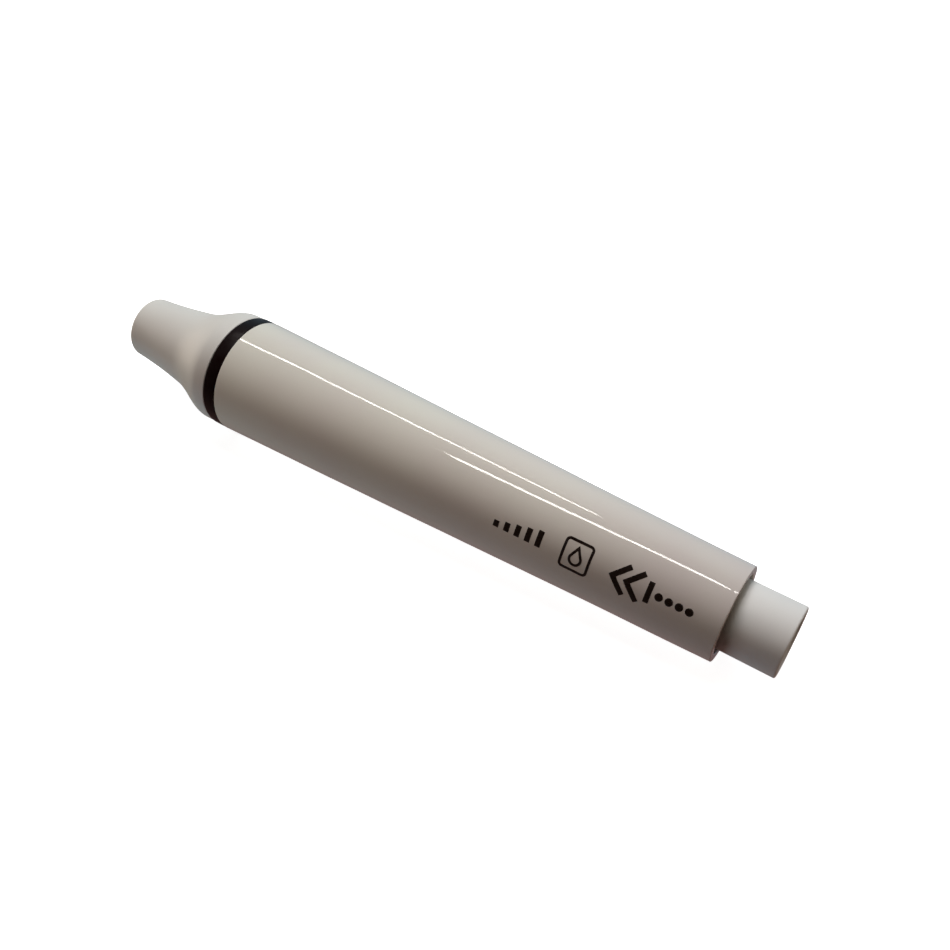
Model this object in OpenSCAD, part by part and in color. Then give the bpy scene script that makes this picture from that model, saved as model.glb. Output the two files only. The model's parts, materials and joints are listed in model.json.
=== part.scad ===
// Detachable ultrasonic scaler handpiece with no tip fitted.
// It lies along X with +X towards the nose. The origin is on the axis, in the plane
// of the handle's rear face, where the cable coupling stops. Millimetres.

/* [Overall] */
// Length of the glossy handle
handle_len = 86.35; // [84:0.05:92]
// How far the tail stands out behind the handle
tail_len = 8.5; // [8.4:0.1:11]
// Width of the seal ring along the axis
ring_width = 2.35; // [2:0.05:2.6]
// Length of the nose cone in front of the seal ring
nose_len = 20.8; // [20.4:0.1:23]

/* [Handle] */
// Handle diameter at the rear face
handle_rear_d = 14.7; // [14.5:0.1:15.5]
// Handle diameter at the front face
handle_front_d = 19.05; // [18.9:0.05:20]
// Rounding of the handle's two outer edges
handle_edge = 0.25; // [0.1:0.05:0.35]
// Diameter of the rear opening around the tail
aperture_d = 12.2; // [12.1:0.05:12.4]

/* [Nose] */
// Largest diameter of the nose, just in front of the ring
nose_shoulder_d = 18.9; // [18.8:0.05:19.2]
// Nose diameter at the valley behind the slim front cone
nose_valley_d = 13; // [12.8:0.1:13.6]
// Nose diameter where the front edge starts to round
nose_front_d = 10.4; // [10:0.1:11]
// Rounding of the nose's front edge
nose_edge = 0.8; // [0.3:0.1:0.9]
// Diameter of the opening that the tip goes into
nose_mouth_d = 6.4; // [6.2:0.1:7]

/* [Nose thread] */
// Major diameter of the thread that holds the nose
collar_thread_d = 14; // [13.8:0.1:14]
// Length of collar in front of the handle's face
collar_reach = 7.85; // [7.4:0.05:7.95]

/* [Tail] */
// Outside diameter of the tail
tail_d = 10.8; // [10.6:0.1:10.9]
// Rounding of the tail's end edge
tail_edge = 0.5; // [0.2:0.1:0.7]
// Diameter of the socket that the cable's plug enters
socket_d = 8.2; // [8.1:0.1:8.4]
// Distance from the axis to each contact pin
pin_offset = 2.9; // [2.7:0.05:2.95]
// Contact pin diameter
pin_d = 1; // [0.8:0.1:1]

/* [Transducer] */
// Outside diameter of the piezo rings and the rear mass
stack_d = 9; // [8.6:0.1:9]
// Thickness of one piezo ring
piezo_t = 2; // [1.8:0.1:2.2]
// Thickness of one electrode shim
shim_t = 0.2; // [0.15:0.05:0.25]
// Length of the rear mass
rear_mass_len = 12; // [9:0.5:12]
// Diameter of the slim front rod of the horn
horn_rod_d = 5.2; // [4.8:0.1:5.4]
// Major diameter of the threaded stud that the tip screws onto
tip_stud_d = 3; // [2.8:0.1:3]
// Length of the tip stud
tip_stud_len = 4.2; // [4:0.1:4.6]
// How far the stud's end sits behind the nose's open end
tip_stud_recess = 0.8; // [0.5:0.1:1.5]
// Diameter of the water channel
water_d = 0.9; // [0.7:0.1:1]

/* [Hidden] */
$fn = 96;

over = 0.5;           // how far a cutting shape runs past what it cuts
press_gap = 0.02;     // radial gap of pieces that are pressed or bonded together
run_gap = 0.05;       // radial gap of pieces that turn or slide on each other
curve_steps = 10;     // straight facets along each curved outline

// Stations along the handle
handle_front = handle_len;
ring_front = handle_front + ring_width;
nose_front = ring_front + nose_len;
tail_end = -tail_len;

// Handle bore
aperture_depth = 4;
rear_bore_r = 6.5;
mid_bore_r = 7.6;
front_bore_r = 8;
collar_seat_len = 10;

// Housing and the seat of the horn's flange
seat = handle_front - 28.35;
housing_front = seat + 11.5;
housing_taper = 13;
housing_bore_r = 5.7;
seat_bore_r = 6.45;

// Horn, from its rear face to the tip stud
flange_t = 2;
flange_r = 6.4;
hub_r = 5.2;
oring_cord_r = 0.6;
flange_rear = seat + 2 * oring_cord_r;
flange_front = flange_rear + flange_t;
clamp_ring_rear = flange_front + 2 * oring_cord_r;
clamp_ring_len = 4;
horn_rear = seat - 7.7;
horn_taper_front = seat + 14;
stud_front = nose_front - tip_stud_recess;
tip_seat = stud_front - tip_stud_len;
water_r = water_d / 2;

// Clamped stack, from the horn backwards
stack_r = stack_d / 2;
bolt_r = 2;
layer_t = piezo_t + shim_t;
stack_rear = horn_rear - 4 * layer_t;
mass_rear = stack_rear - rear_mass_len;
nut_t = 3.5;
nut_corner_r = 3.9;
nut_rear = mass_rear - nut_t;
bolt_rear = nut_rear - 0.5;
bolt_grip = 6.2;
barb_r = 0.9;
barb_len = 5;

// Tail
socket_r = socket_d / 2;
tail_r = tail_d / 2;
carrier_t = 3;
throat_r = 3.6;
tail_flange_t = 2.5;
tail_front = aperture_depth + tail_flange_t + 4;
tail_oring_x = 2.15;
tail_oring_r = 0.55;

// Contact pins and nipple, each moulded into the carrier by a collar of its own
pin_reach = 4;
pin_tail = 2.5;
pin_root_r = 0.75;
pin_collar_r = 1;
collar_x = 1;
collar_t = 1;
nipple_r = 1.2;
nipple_collar_r = 1.6;
nipple_seal_x = -2.15;
nipple_seal_r = 0.4;
nipple_front = 8.5;

// Leads and their solder tabs
lead_r = 0.35;
lead_run_r = 5.05;
tab_r = 5.5;
tab_w = 1.8;
lead_swing_start = 10;
lead_swing_len = 12;

white_plastic = "whitesmoke";
handle_plastic = "gainsboro";
steel = "silver";
copper = "peru";
gold = "gold";
dark_rubber = "dimgray";
clear_silicone = "lightcyan";

// ---- helpers ----

// A point on the cubic curve through a and d, pulled towards b and c
function curve_at(a, b, c, d, t) =
    pow(1 - t, 3) * a + 3 * t * pow(1 - t, 2) * b + 3 * t * t * (1 - t) * c + t * t * t * d;

function curve(a, b, c, d) = [for (i = [0:curve_steps]) curve_at(a, b, c, d, i / curve_steps)];

// A rounded edge in an outline: an arc about centre, from angle a0 to a1 in degrees
function arc(centre, r, a0, a1, steps = 5) =
    [for (i = [0:steps]) let (a = a0 + (a1 - a0) * i / steps) centre + r * [cos(a), sin(a)]];

// Turns an outline of [radius, x] points about the X axis
module lathe(outline) rotate([0, 90, 0]) rotate_extrude() polygon(outline);

module rod(x, len, r) translate([x, 0, 0]) rotate([0, 90, 0]) cylinder(h = len, r = r);

module tube(x, len, r_out, r_in) {
    difference() {
        rod(x, len, r_out);
        rod(x - over, len + 2 * over, r_in);
    }
}

// A round-section ring of the given inner radius, whose rear side is at x
module cord_ring(x, r_in, cord_r) {
    translate([x + cord_r, 0, 0]) rotate([0, 90, 0]) rotate_extrude() translate([r_in + cord_r, 0]) circle(r = cord_r);
}

// ---- outside of the handpiece ----

module nose_cone() {
    bead_x = ring_front + 0.6;
    shoulder_r = nose_shoulder_d / 2;
    valley = [nose_valley_d / 2, ring_front + 9.6];
    edge_start = [nose_front_d / 2, nose_front - nose_edge];
    thread_r = collar_thread_d / 2 + run_gap;
    rear_edge = 0.2;
    outside = concat(
        arc([shoulder_r - rear_edge, ring_front + rear_edge], rear_edge, -90, 0),
        curve([shoulder_r, ring_front + 1.2], [shoulder_r, ring_front + 4.6],
              valley + [0.6, -3.3], valley),
        curve(valley, valley + [-0.5, 3], edge_start + [0.26, -3], edge_start),
        arc([edge_start.x - nose_edge, edge_start.y], nose_edge, 0, 90)
    );
    inside = [
        [nose_mouth_d / 2 + 0.3, nose_front],
        [nose_mouth_d / 2, nose_front - 0.3],
        [nose_mouth_d / 2, ring_front + 12],
        [4, ring_front + 11],
        [4.6, ring_front + 8.4],
        [5.6, ring_front + 7],
        [thread_r, ring_front + 6],
        [thread_r, ring_front + 1.3],
        [8.3, ring_front + 1.3],
        [8.3, bead_x],
        [8.05, bead_x],
        [8.05, ring_front]
    ];
    color(white_plastic) lathe(concat(outside, inside));
}

// The seal ring has a lip in front that snaps into the nose, so it comes off with it
module seal_ring() {
    outer_r = handle_front_d / 2;
    bore_r = collar_thread_d / 2 + 2 * run_gap;
    edge = 0.2;
    lip_r = 8;
    color(dark_rubber) lathe(concat(
        [[bore_r, handle_front]],
        arc([outer_r - edge, handle_front + edge], edge, -90, 0),
        arc([outer_r - edge, ring_front - edge], edge, 0, 90),
        [
            [lip_r, ring_front],
            [lip_r, ring_front + 0.7],
            [lip_r + 0.25, ring_front + 0.7],
            [lip_r, ring_front + 1.2],
            [bore_r, ring_front + 1.2]
        ]
    ));
}

module handle_shell() {
    rear_r = handle_rear_d / 2;
    front_r = handle_front_d / 2;
    rear = [rear_r, handle_edge];
    front = [front_r, handle_front - handle_edge];
    outside = concat(
        arc([rear_r - handle_edge, handle_edge], handle_edge, -90, 0),
        curve(rear, rear + [0.6, 0.35 * handle_len], front - [0.47, 0.28 * handle_len], front),
        arc([front_r - handle_edge, handle_front - handle_edge], handle_edge, 0, 90)
    );
    inside = [
        [front_bore_r, handle_front],
        [front_bore_r, handle_front - collar_seat_len],
        [mid_bore_r, handle_front - collar_seat_len],
        [mid_bore_r, seat],
        [rear_bore_r, seat - housing_taper],
        [rear_bore_r, aperture_depth],
        [aperture_d / 2, aperture_depth],
        [aperture_d / 2, 0.2],
        [aperture_d / 2 + 0.2, 0]
    ];
    color(handle_plastic) lathe(concat(outside, inside));
}

// Bush bonded into the handle. Its front half is the thread that the nose turns on.
module front_collar() {
    bore_r = 5;
    thread_r = collar_thread_d / 2;
    reach = handle_front + collar_reach;
    lead_in = 0.3;
    notch_w = 1.6;
    notch_depth = 1.5;
    color(steel) difference() {
        lathe([
            [bore_r, housing_front],
            [mid_bore_r - press_gap, housing_front],
            [mid_bore_r - press_gap, handle_front - collar_seat_len],
            [front_bore_r - press_gap, handle_front - collar_seat_len],
            [front_bore_r - press_gap, handle_front],
            [thread_r, handle_front],
            [thread_r, reach - lead_in],
            [thread_r - lead_in, reach],
            [bore_r, reach]
        ]);
        translate([reach - notch_depth, -notch_w / 2, -thread_r - over])
            cube([notch_depth + over, notch_w, 2 * (thread_r + over)]);
    }
}

// ---- transducer and what holds it ----

module inner_housing() {
    rear = aperture_depth + tail_flange_t;
    color(white_plastic) lathe([
        [housing_bore_r, rear],
        [rear_bore_r - run_gap, rear],
        [rear_bore_r - run_gap, seat - housing_taper],
        [mid_bore_r - run_gap, seat],
        [mid_bore_r - run_gap, housing_front],
        [seat_bore_r, housing_front],
        [seat_bore_r, seat],
        [housing_bore_r, seat]
    ]);
}

module flange_clamp_ring() {
    ring_r = seat_bore_r - press_gap;
    slot_w = 1.5;
    slot_depth = 1.2;
    color(steel) difference() {
        tube(clamp_ring_rear, clamp_ring_len, ring_r, hub_r + 0.1);
        translate([clamp_ring_rear + clamp_ring_len - slot_depth, -ring_r - over, -slot_w / 2])
            cube([slot_depth + over, 2 * (ring_r + over), slot_w]);
    }
}

module horn() {
    body_r = stack_r + 0.1;
    rod_r = horn_rod_d / 2;
    stud_r = tip_stud_d / 2;
    stud_chamfer = 0.2;
    tap_depth = bolt_grip + 0.5;
    color(steel) lathe([
        [bolt_r + press_gap, horn_rear],
        [body_r, horn_rear],
        [body_r, seat - 2],
        [hub_r, seat - 1.4],
        [hub_r, flange_rear],
        [flange_r, flange_rear],
        [flange_r, flange_front],
        [hub_r, flange_front],
        [hub_r, clamp_ring_rear + 1],
        [rod_r, horn_taper_front],
        [rod_r, tip_seat],
        [stud_r, tip_seat],
        [stud_r, stud_front - stud_chamfer],
        [stud_r - stud_chamfer, stud_front],
        [water_r, stud_front],
        [water_r, horn_rear + tap_depth + 1],
        [bolt_r + press_gap, horn_rear + tap_depth]
    ]);
}

module horn_oring_front() color(dark_rubber) cord_ring(flange_front, hub_r, oring_cord_r);

module horn_oring_rear() color(dark_rubber) cord_ring(seat, hub_r, oring_cord_r);

// Layer 1 is next to the horn. Each layer is a piezo ring with a shim behind it.
module piezo_ring(layer) {
    color("ivory") tube(horn_rear - layer * layer_t + shim_t, piezo_t, stack_r, bolt_r + 0.4);
}

// side is 1 for a tab on top and -1 for a tab underneath
module electrode(layer, side) {
    x = horn_rear - layer * layer_t;
    color(copper) difference() {
        union() {
            rod(x, shim_t, stack_r);
            translate([x, -tab_w / 2, side > 0 ? 0 : -tab_r]) cube([shim_t, tab_w, tab_r]);
        }
        rod(x - over, shim_t + 2 * over, bolt_r + 0.4);
        translate([0, 0, side * lead_run_r]) rod(x - over, shim_t + 2 * over, lead_r);
    }
}

module insulating_sleeve() {
    color(clear_silicone) tube(stack_rear, 4 * layer_t, bolt_r + 0.35, bolt_r + 0.05);
}

module stack_stud() {
    color(steel) lathe([
        [water_r, bolt_rear - barb_len],
        [barb_r, bolt_rear - barb_len],
        [barb_r, bolt_rear],
        [bolt_r, bolt_rear],
        [bolt_r, horn_rear + bolt_grip],
        [water_r, horn_rear + bolt_grip]
    ]);
}

module rear_mass() {
    chamfer = 0.3;
    color(steel) lathe([
        [bolt_r + 0.1, mass_rear],
        [stack_r - chamfer, mass_rear],
        [stack_r, mass_rear + chamfer],
        [stack_r, stack_rear],
        [bolt_r + 0.1, stack_rear]
    ]);
}

module clamp_nut() {
    color(steel) difference() {
        translate([nut_rear, 0, 0]) rotate([0, 90, 0]) cylinder(h = nut_t, r = nut_corner_r, $fn = 6);
        rod(nut_rear - over, nut_t + 2 * over, bolt_r + press_gap);
    }
}

// ---- water and electricity ----

module water_tube() {
    color(clear_silicone) tube(carrier_t + 0.5, bolt_rear - carrier_t - 1, 1.5, barb_r + press_gap);
}

// Place of the hot lead's centre: level with its pin, then up to the top of the stack
function lead_at(x) =
    let (t = min(max((x - lead_swing_start) / lead_swing_len, 0), 1), s = t * t * (3 - 2 * t),
         r = pin_offset + (lead_run_r - pin_offset) * s)
    [x, r * cos(90 * s), r * sin(90 * s)];

// A wire of eight sides along the hot lead's route, from its pin to x_end
module lead(x_end) {
    sides = 8;
    swing = [for (i = [0:12]) lead_swing_start + lead_swing_len * i / 12];
    stations = concat([carrier_t + pin_tail], swing, [x_end]);
    last = len(stations) - 1;
    points = [for (x = stations) for (k = [0:sides - 1]) lead_at(x)
        + lead_r * [0, cos(360 * k / sides), sin(360 * k / sides)]];
    walls = [for (i = [0:last - 1]) for (k = [0:sides - 1]) let (n = (k + 1) % sides)
        [i * sides + k, (i + 1) * sides + k, (i + 1) * sides + n, i * sides + n]];
    rear_cap = [for (k = [0:sides - 1]) k];
    front_cap = [for (k = [sides - 1:-1:0]) last * sides + k];
    polyhedron(points = points, faces = concat([rear_cap, front_cap], walls));
}

module hot_lead() color("firebrick") lead(horn_rear - piezo_t + 0.4);

module ground_lead() color("navy") rotate([180, 0, 0]) lead(horn_rear - piezo_t - layer_t + 0.4);

// ---- tail ----

module tail_socket() {
    groove_half = tail_oring_r + 0.1;
    groove_r = aperture_d / 2 - 2 * tail_oring_r;
    mouth_chamfer = 0.3;
    key_w = 1.4;
    key_depth = 0.5;
    key_len = tail_len - 1;
    color(white_plastic) difference() {
        lathe(concat(
            [[socket_r + mouth_chamfer, tail_end]],
            arc([tail_r - tail_edge, tail_end + tail_edge], tail_edge, -90, 0),
            [
                [tail_r, tail_oring_x - groove_half],
                [groove_r, tail_oring_x - groove_half],
                [groove_r, tail_oring_x + groove_half],
                [tail_r - 0.1, tail_oring_x + groove_half],
                [tail_r - 0.1, aperture_depth],
                [rear_bore_r - run_gap, aperture_depth],
                [rear_bore_r - run_gap, aperture_depth + tail_flange_t],
                [housing_bore_r - run_gap, aperture_depth + tail_flange_t],
                [housing_bore_r - run_gap, tail_front],
                [throat_r, tail_front],
                [throat_r, carrier_t],
                [socket_r, carrier_t],
                [socket_r, tail_end + mouth_chamfer]
            ]
        ));
        translate([tail_end - over, -key_w / 2, 0]) cube([key_len + over, key_w, socket_r + key_depth]);
    }
}

module tail_oring() {
    color(dark_rubber)
        cord_ring(tail_oring_x - tail_oring_r, aperture_d / 2 - 2 * tail_oring_r, tail_oring_r);
}

module pin_carrier() {
    color("dimgray") difference() {
        rod(0, carrier_t, socket_r - press_gap);
        rod(-over, carrier_t + 2 * over, nipple_r);
        rod(collar_x, collar_t, nipple_collar_r);
        for (side = [-1, 1]) translate([0, side * pin_offset, 0]) {
            rod(-over, carrier_t + 2 * over, pin_root_r);
            rod(collar_x, collar_t, pin_collar_r);
        }
    }
}

module contact_pin(side) {
    r = pin_d / 2;
    chamfer = 0.25;
    color(gold) translate([0, side * pin_offset, 0]) lathe([
        [0, -pin_reach],
        [r - chamfer, -pin_reach],
        [r, chamfer - pin_reach],
        [r, 0],
        [pin_root_r, 0],
        [pin_root_r, collar_x],
        [pin_collar_r, collar_x],
        [pin_collar_r, collar_x + collar_t],
        [pin_root_r, collar_x + collar_t],
        [pin_root_r, carrier_t],
        [r, carrier_t],
        [r, carrier_t + pin_tail],
        [0, carrier_t + pin_tail]
    ]);
}

module contact_pin_hot() contact_pin(1);

module contact_pin_ground() contact_pin(-1);

module water_nipple() {
    groove_half = nipple_seal_r + 0.05;
    groove_r = nipple_r - 0.35;
    rear = 0.1 - pin_reach;
    chamfer = 0.2;
    color(steel) lathe([
        [water_r, rear],
        [nipple_r - chamfer, rear],
        [nipple_r, rear + chamfer],
        [nipple_r, nipple_seal_x - groove_half],
        [groove_r, nipple_seal_x - groove_half],
        [groove_r, nipple_seal_x + groove_half],
        [nipple_r, nipple_seal_x + groove_half],
        [nipple_r, collar_x],
        [nipple_collar_r, collar_x],
        [nipple_collar_r, collar_x + collar_t],
        [nipple_r, collar_x + collar_t],
        [nipple_r, carrier_t],
        [barb_r, carrier_t],
        [barb_r, nipple_front],
        [water_r, nipple_front]
    ]);
}

module nipple_oring() {
    color(dark_rubber) cord_ring(nipple_seal_x - nipple_seal_r, nipple_r - 0.35, nipple_seal_r);
}

nose_cone();
seal_ring();
handle_shell();
front_collar();
inner_housing();
flange_clamp_ring();
horn();
horn_oring_front();
horn_oring_rear();
piezo_ring(1);  // piezo_ring_1
piezo_ring(2);  // piezo_ring_2
piezo_ring(3);  // piezo_ring_3
piezo_ring(4);  // piezo_ring_4
electrode(1, 1);  // electrode_hot_front
electrode(2, -1);  // electrode_ground_front
electrode(3, 1);  // electrode_hot_rear
electrode(4, -1);  // electrode_ground_rear
insulating_sleeve();
stack_stud();
rear_mass();
clamp_nut();
water_tube();
hot_lead();
ground_lead();
tail_socket();
tail_oring();
pin_carrier();
contact_pin_hot();
contact_pin_ground();
water_nipple();
nipple_oring();
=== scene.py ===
import json
import math

import bmesh
import bpy
from mathutils import Matrix, Vector, noise

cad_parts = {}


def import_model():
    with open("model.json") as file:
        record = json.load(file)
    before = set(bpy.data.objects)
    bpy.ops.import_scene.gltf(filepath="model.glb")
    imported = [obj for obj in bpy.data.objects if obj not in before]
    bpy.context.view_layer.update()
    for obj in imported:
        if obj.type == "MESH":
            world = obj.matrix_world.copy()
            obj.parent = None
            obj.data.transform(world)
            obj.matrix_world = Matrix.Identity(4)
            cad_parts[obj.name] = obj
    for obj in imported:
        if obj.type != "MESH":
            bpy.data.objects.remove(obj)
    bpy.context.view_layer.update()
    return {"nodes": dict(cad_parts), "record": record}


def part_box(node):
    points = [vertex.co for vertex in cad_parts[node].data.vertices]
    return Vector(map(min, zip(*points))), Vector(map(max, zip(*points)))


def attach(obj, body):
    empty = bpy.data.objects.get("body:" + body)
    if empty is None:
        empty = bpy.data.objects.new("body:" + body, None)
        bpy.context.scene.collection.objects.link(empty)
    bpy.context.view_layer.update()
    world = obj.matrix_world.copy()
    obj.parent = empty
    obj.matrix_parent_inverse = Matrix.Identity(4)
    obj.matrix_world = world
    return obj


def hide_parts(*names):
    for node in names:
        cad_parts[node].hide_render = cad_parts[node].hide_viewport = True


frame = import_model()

# Detachable ultrasonic scaler handpiece. It lies along X with its nose at +X, and x = 0 is the
# handle's rear face. Lengths are in millimetres unless a line says otherwise, and MM turns
# them into metres. Radii in an outline are about the X axis.
MM = 0.001

# ---- places and sizes ----


def ends(node):
    """Where a CAD node begins and ends along X, and its largest radius."""
    lo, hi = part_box(node)
    radius = max(-lo.y, -lo.z, hi.y, hi.z)
    return lo.x / MM, hi.x / MM, radius / MM


def mount_radius(name):
    """The radius of a mount in the record."""
    mounts = {mount["name"]: mount for mount in frame["record"]["mounts"]}
    return mounts[name]["dims"]["r_mm"]


HANDLE_REAR, HANDLE_FRONT, HANDLE_R = ends("handle_shell")
RING_REAR, RING_TIP, RING_R = ends("seal_ring")
NOSE_REAR, NOSE_FRONT, NOSE_R = ends("nose_cone")
TAIL_END, TAIL_FRONT, TAIL_FLANGE_R = ends("tail_socket")
COLLAR_REAR, COLLAR_FRONT, COLLAR_SEAT_R = ends("front_collar")
HORN_REAR, HORN_FRONT, FLANGE_R = ends("horn")
CARRIER_REAR, CARRIER_FRONT, _ = ends("pin_carrier")
PIN_END, PIN_FRONT, _ = ends("contact_pin_hot")
NIPPLE_END, NIPPLE_FRONT, NIPPLE_COLLAR_R = ends("water_nipple")
PIN_Y = sum(corner.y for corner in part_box("contact_pin_hot")) / 2 / MM

TAIL_R = mount_radius("tail_spigot")
STUD_R = mount_radius("tip_stud")
PIN_R = mount_radius("contact_pin_hot")
NIPPLE_R = mount_radius("water_nipple")

# Sizes that the boxes and mounts don't give
HANDLE_REAR_R = 7.35
HANDLE_EDGE = 0.12
FRONT_BORE_R = 8.0
MID_BORE_R = 7.6
REAR_BORE_R = 6.5
APERTURE_R = 6.1
APERTURE_DEPTH = 4
SOCKET_R = 4.1
THROAT_R = 3.6
NOSE_VALLEY_R = 6.55
NOSE_EDGE_R = 5.2
NOSE_MOUTH_R = 3.2
COLLAR_SEAT_LEN = 10
COLLAR_THREAD_R = 7.0
COLLAR_BORE_R = 5.0
HORN_ROD_R = 2.6
WATER_R = 0.45
PRESS_GAP = 0.02
RUN_GAP = 0.05

# The collars by which the carrier holds the pins and the nipple
HELD_REAR, HELD_FRONT = CARRIER_REAR + 1, CARRIER_REAR + 2

# How finely curves are drawn
FACETS = 192
THREAD_STATIONS_PER_TURN = 14

# ---- outlines ----


def bezier(a, b, c, d, steps):
    """Points on the cubic curve from a to d, drawn towards b and c."""
    out = []
    for i in range(steps + 1):
        t = i / steps
        s = 1 - t
        out.append(tuple(
            s ** 3 * a[k] + 3 * s * s * t * b[k] + 3 * s * t * t * c[k] + t ** 3 * d[k]
            for k in (0, 1)))
    return out


def rounded(points, steps=5, before=None, after=None):
    """An outline of (x, r) points. A third number rounds that corner to its radius.

    The outline closes on itself unless before and after say where it comes from and goes to.
    """
    out = []
    for i, p in enumerate(points):
        here = Vector(p[:2])
        if len(p) == 2:
            out.append(tuple(here))
            continue
        last = before if before and i == 0 else points[i - 1]
        following = after if after and i == len(points) - 1 else points[(i + 1) % len(points)]
        to_last = (Vector(last[:2]) - here).normalized()
        to_next = (Vector(following[:2]) - here).normalized()
        half = to_last.angle(to_next) / 2
        centre = here + (to_last + to_next).normalized() * p[2] / math.sin(half)
        start = here + to_last * p[2] / math.tan(half) - centre
        end = here + to_next * p[2] / math.tan(half) - centre
        sweep = start.angle(end)
        for k in range(steps + 1):
            a, b = (math.sin(sweep * w) / math.sin(sweep) for w in (1 - k / steps, k / steps))
            out.append(tuple(centre + start * a + end * b))
    return out


def spaced(start, stop, steps):
    """Evenly spaced numbers from start to stop."""
    return [start + (stop - start) * k / steps for k in range(steps + 1)]


HANDLE_CURVE = bezier(
    (HANDLE_REAR + HANDLE_EDGE, HANDLE_REAR_R),
    (HANDLE_REAR + HANDLE_EDGE + 0.35 * HANDLE_FRONT, HANDLE_REAR_R + 0.6),
    (HANDLE_FRONT - HANDLE_EDGE - 0.28 * HANDLE_FRONT, HANDLE_R - 0.47),
    (HANDLE_FRONT - HANDLE_EDGE, HANDLE_R), 120)


def handle_radius(x):
    """The handle's radius at x, before its waviness."""
    for (x0, r0), (x1, r1) in zip(HANDLE_CURVE, HANDLE_CURVE[1:]):
        if x <= x1:
            return r0 + (r1 - r0) * max(0, x - x0) / (x1 - x0)
    return HANDLE_R


def waviness(x, angle):
    """The faint unevenness of the moulded handle, which makes long reflections waver.

    It adds a slow and a quick wave. Both fade out towards the handle's two ends.
    """
    fade_length, slow_height, quick_height = 6, 0.045, 0.008
    fade = min(1, max(0, min(x - HANDLE_REAR, HANDLE_FRONT - x) / fade_length))

    def wave(length, around, shift=0):
        spot = (x / length + shift, around * math.cos(angle), around * math.sin(angle))
        return noise.noise(Vector(spot))

    return fade * (slow_height * wave(14, 1.1) + quick_height * wave(4, 2, shift=50))


# ---- meshes ----


def mesh_object(name, bm, sharp_deg=32):
    """Makes an object from a bmesh in millimetres, smooth apart from its sharp edges."""
    bmesh.ops.remove_doubles(bm, verts=bm.verts, dist=1e-5)
    bmesh.ops.dissolve_degenerate(bm, dist=1e-6, edges=bm.edges)
    bmesh.ops.scale(bm, vec=(MM, MM, MM), verts=bm.verts)
    bmesh.ops.recalc_face_normals(bm, faces=bm.faces)
    mesh = bpy.data.meshes.new(name)
    bm.to_mesh(mesh)
    bm.free()
    mesh.polygons.foreach_set("use_smooth", [True] * len(mesh.polygons))
    mesh.set_sharp_from_angle(angle=math.radians(sharp_deg))
    obj = bpy.data.objects.new(name, mesh)
    bpy.context.scene.collection.objects.link(obj)
    return obj


def even_angles(count):
    """A full turn of evenly spaced angles, in radians."""
    return [2 * math.pi * k / count for k in range(count)]


def turned(name, outline, angles, shape=None, at=(0, 0), sharp_deg=32):
    """The closed skin made by turning a closed outline about an axis along X.

    shape(x, r, angle, i) may move a point: i is the point's number in the outline.
    at is the axis's place in Y and Z.
    """
    bm = bmesh.new()
    rings = []
    for i, (x, r) in enumerate(outline):
        ring = []
        for angle in angles:
            px, pr = shape(x, r, angle, i) if shape else (x, r)
            spot = (px, at[0] + pr * math.cos(angle), at[1] + pr * math.sin(angle))
            ring.append(bm.verts.new(spot))
        rings.append(ring)
    count = len(angles)
    for i, ring in enumerate(rings):
        after = rings[(i + 1) % len(rings)]
        if all(outline[k % len(rings)][1] == 0 for k in (i, i + 1)):
            continue
        for k in range(count):
            n = (k + 1) % count
            bm.faces.new((ring[k], ring[n], after[n], after[k]))
    return mesh_object(name, bm, sharp_deg)


def thread_radius(x, angle, crest_r, depth, pitch, start, run_in):
    """The radius of a right-handed thread that grows from its root over run_in past start.

    A steep triangle wave, cut off at its foot and top, leaves small flats at root and crest.
    """
    phase = (x / pitch - angle / (2 * math.pi)) % 1
    triangle = 1 - abs(2 * phase - 1)
    steepness, foot = 1.6, 0.3
    wave = min(1, max(0, steepness * triangle - foot))
    return crest_r - depth + depth * wave * min(1, (x - start) / run_in)


def slot_angles(count, half_width, radius, centres):
    """Even angles with a close pair at each side of every slot, and a test for being inside.

    half_width is half of a slot's width, measured at the radius.
    """
    step = 2 * math.pi / count
    half = math.asin(half_width / radius)
    gap = 0.004
    edges = [c + side * (half + d) for c in centres for side in (-1, 1) for d in (-gap, gap)]
    keep = [a for a in even_angles(count)
            if all(abs(math.remainder(a - e, 2 * math.pi)) > step / 3 for e in edges)]
    angles = sorted(a % (2 * math.pi) for a in keep + edges)

    def inside(angle):
        return any(abs(math.remainder(angle - c, 2 * math.pi)) < half for c in centres)

    return angles, inside


# ---- materials ----


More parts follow.
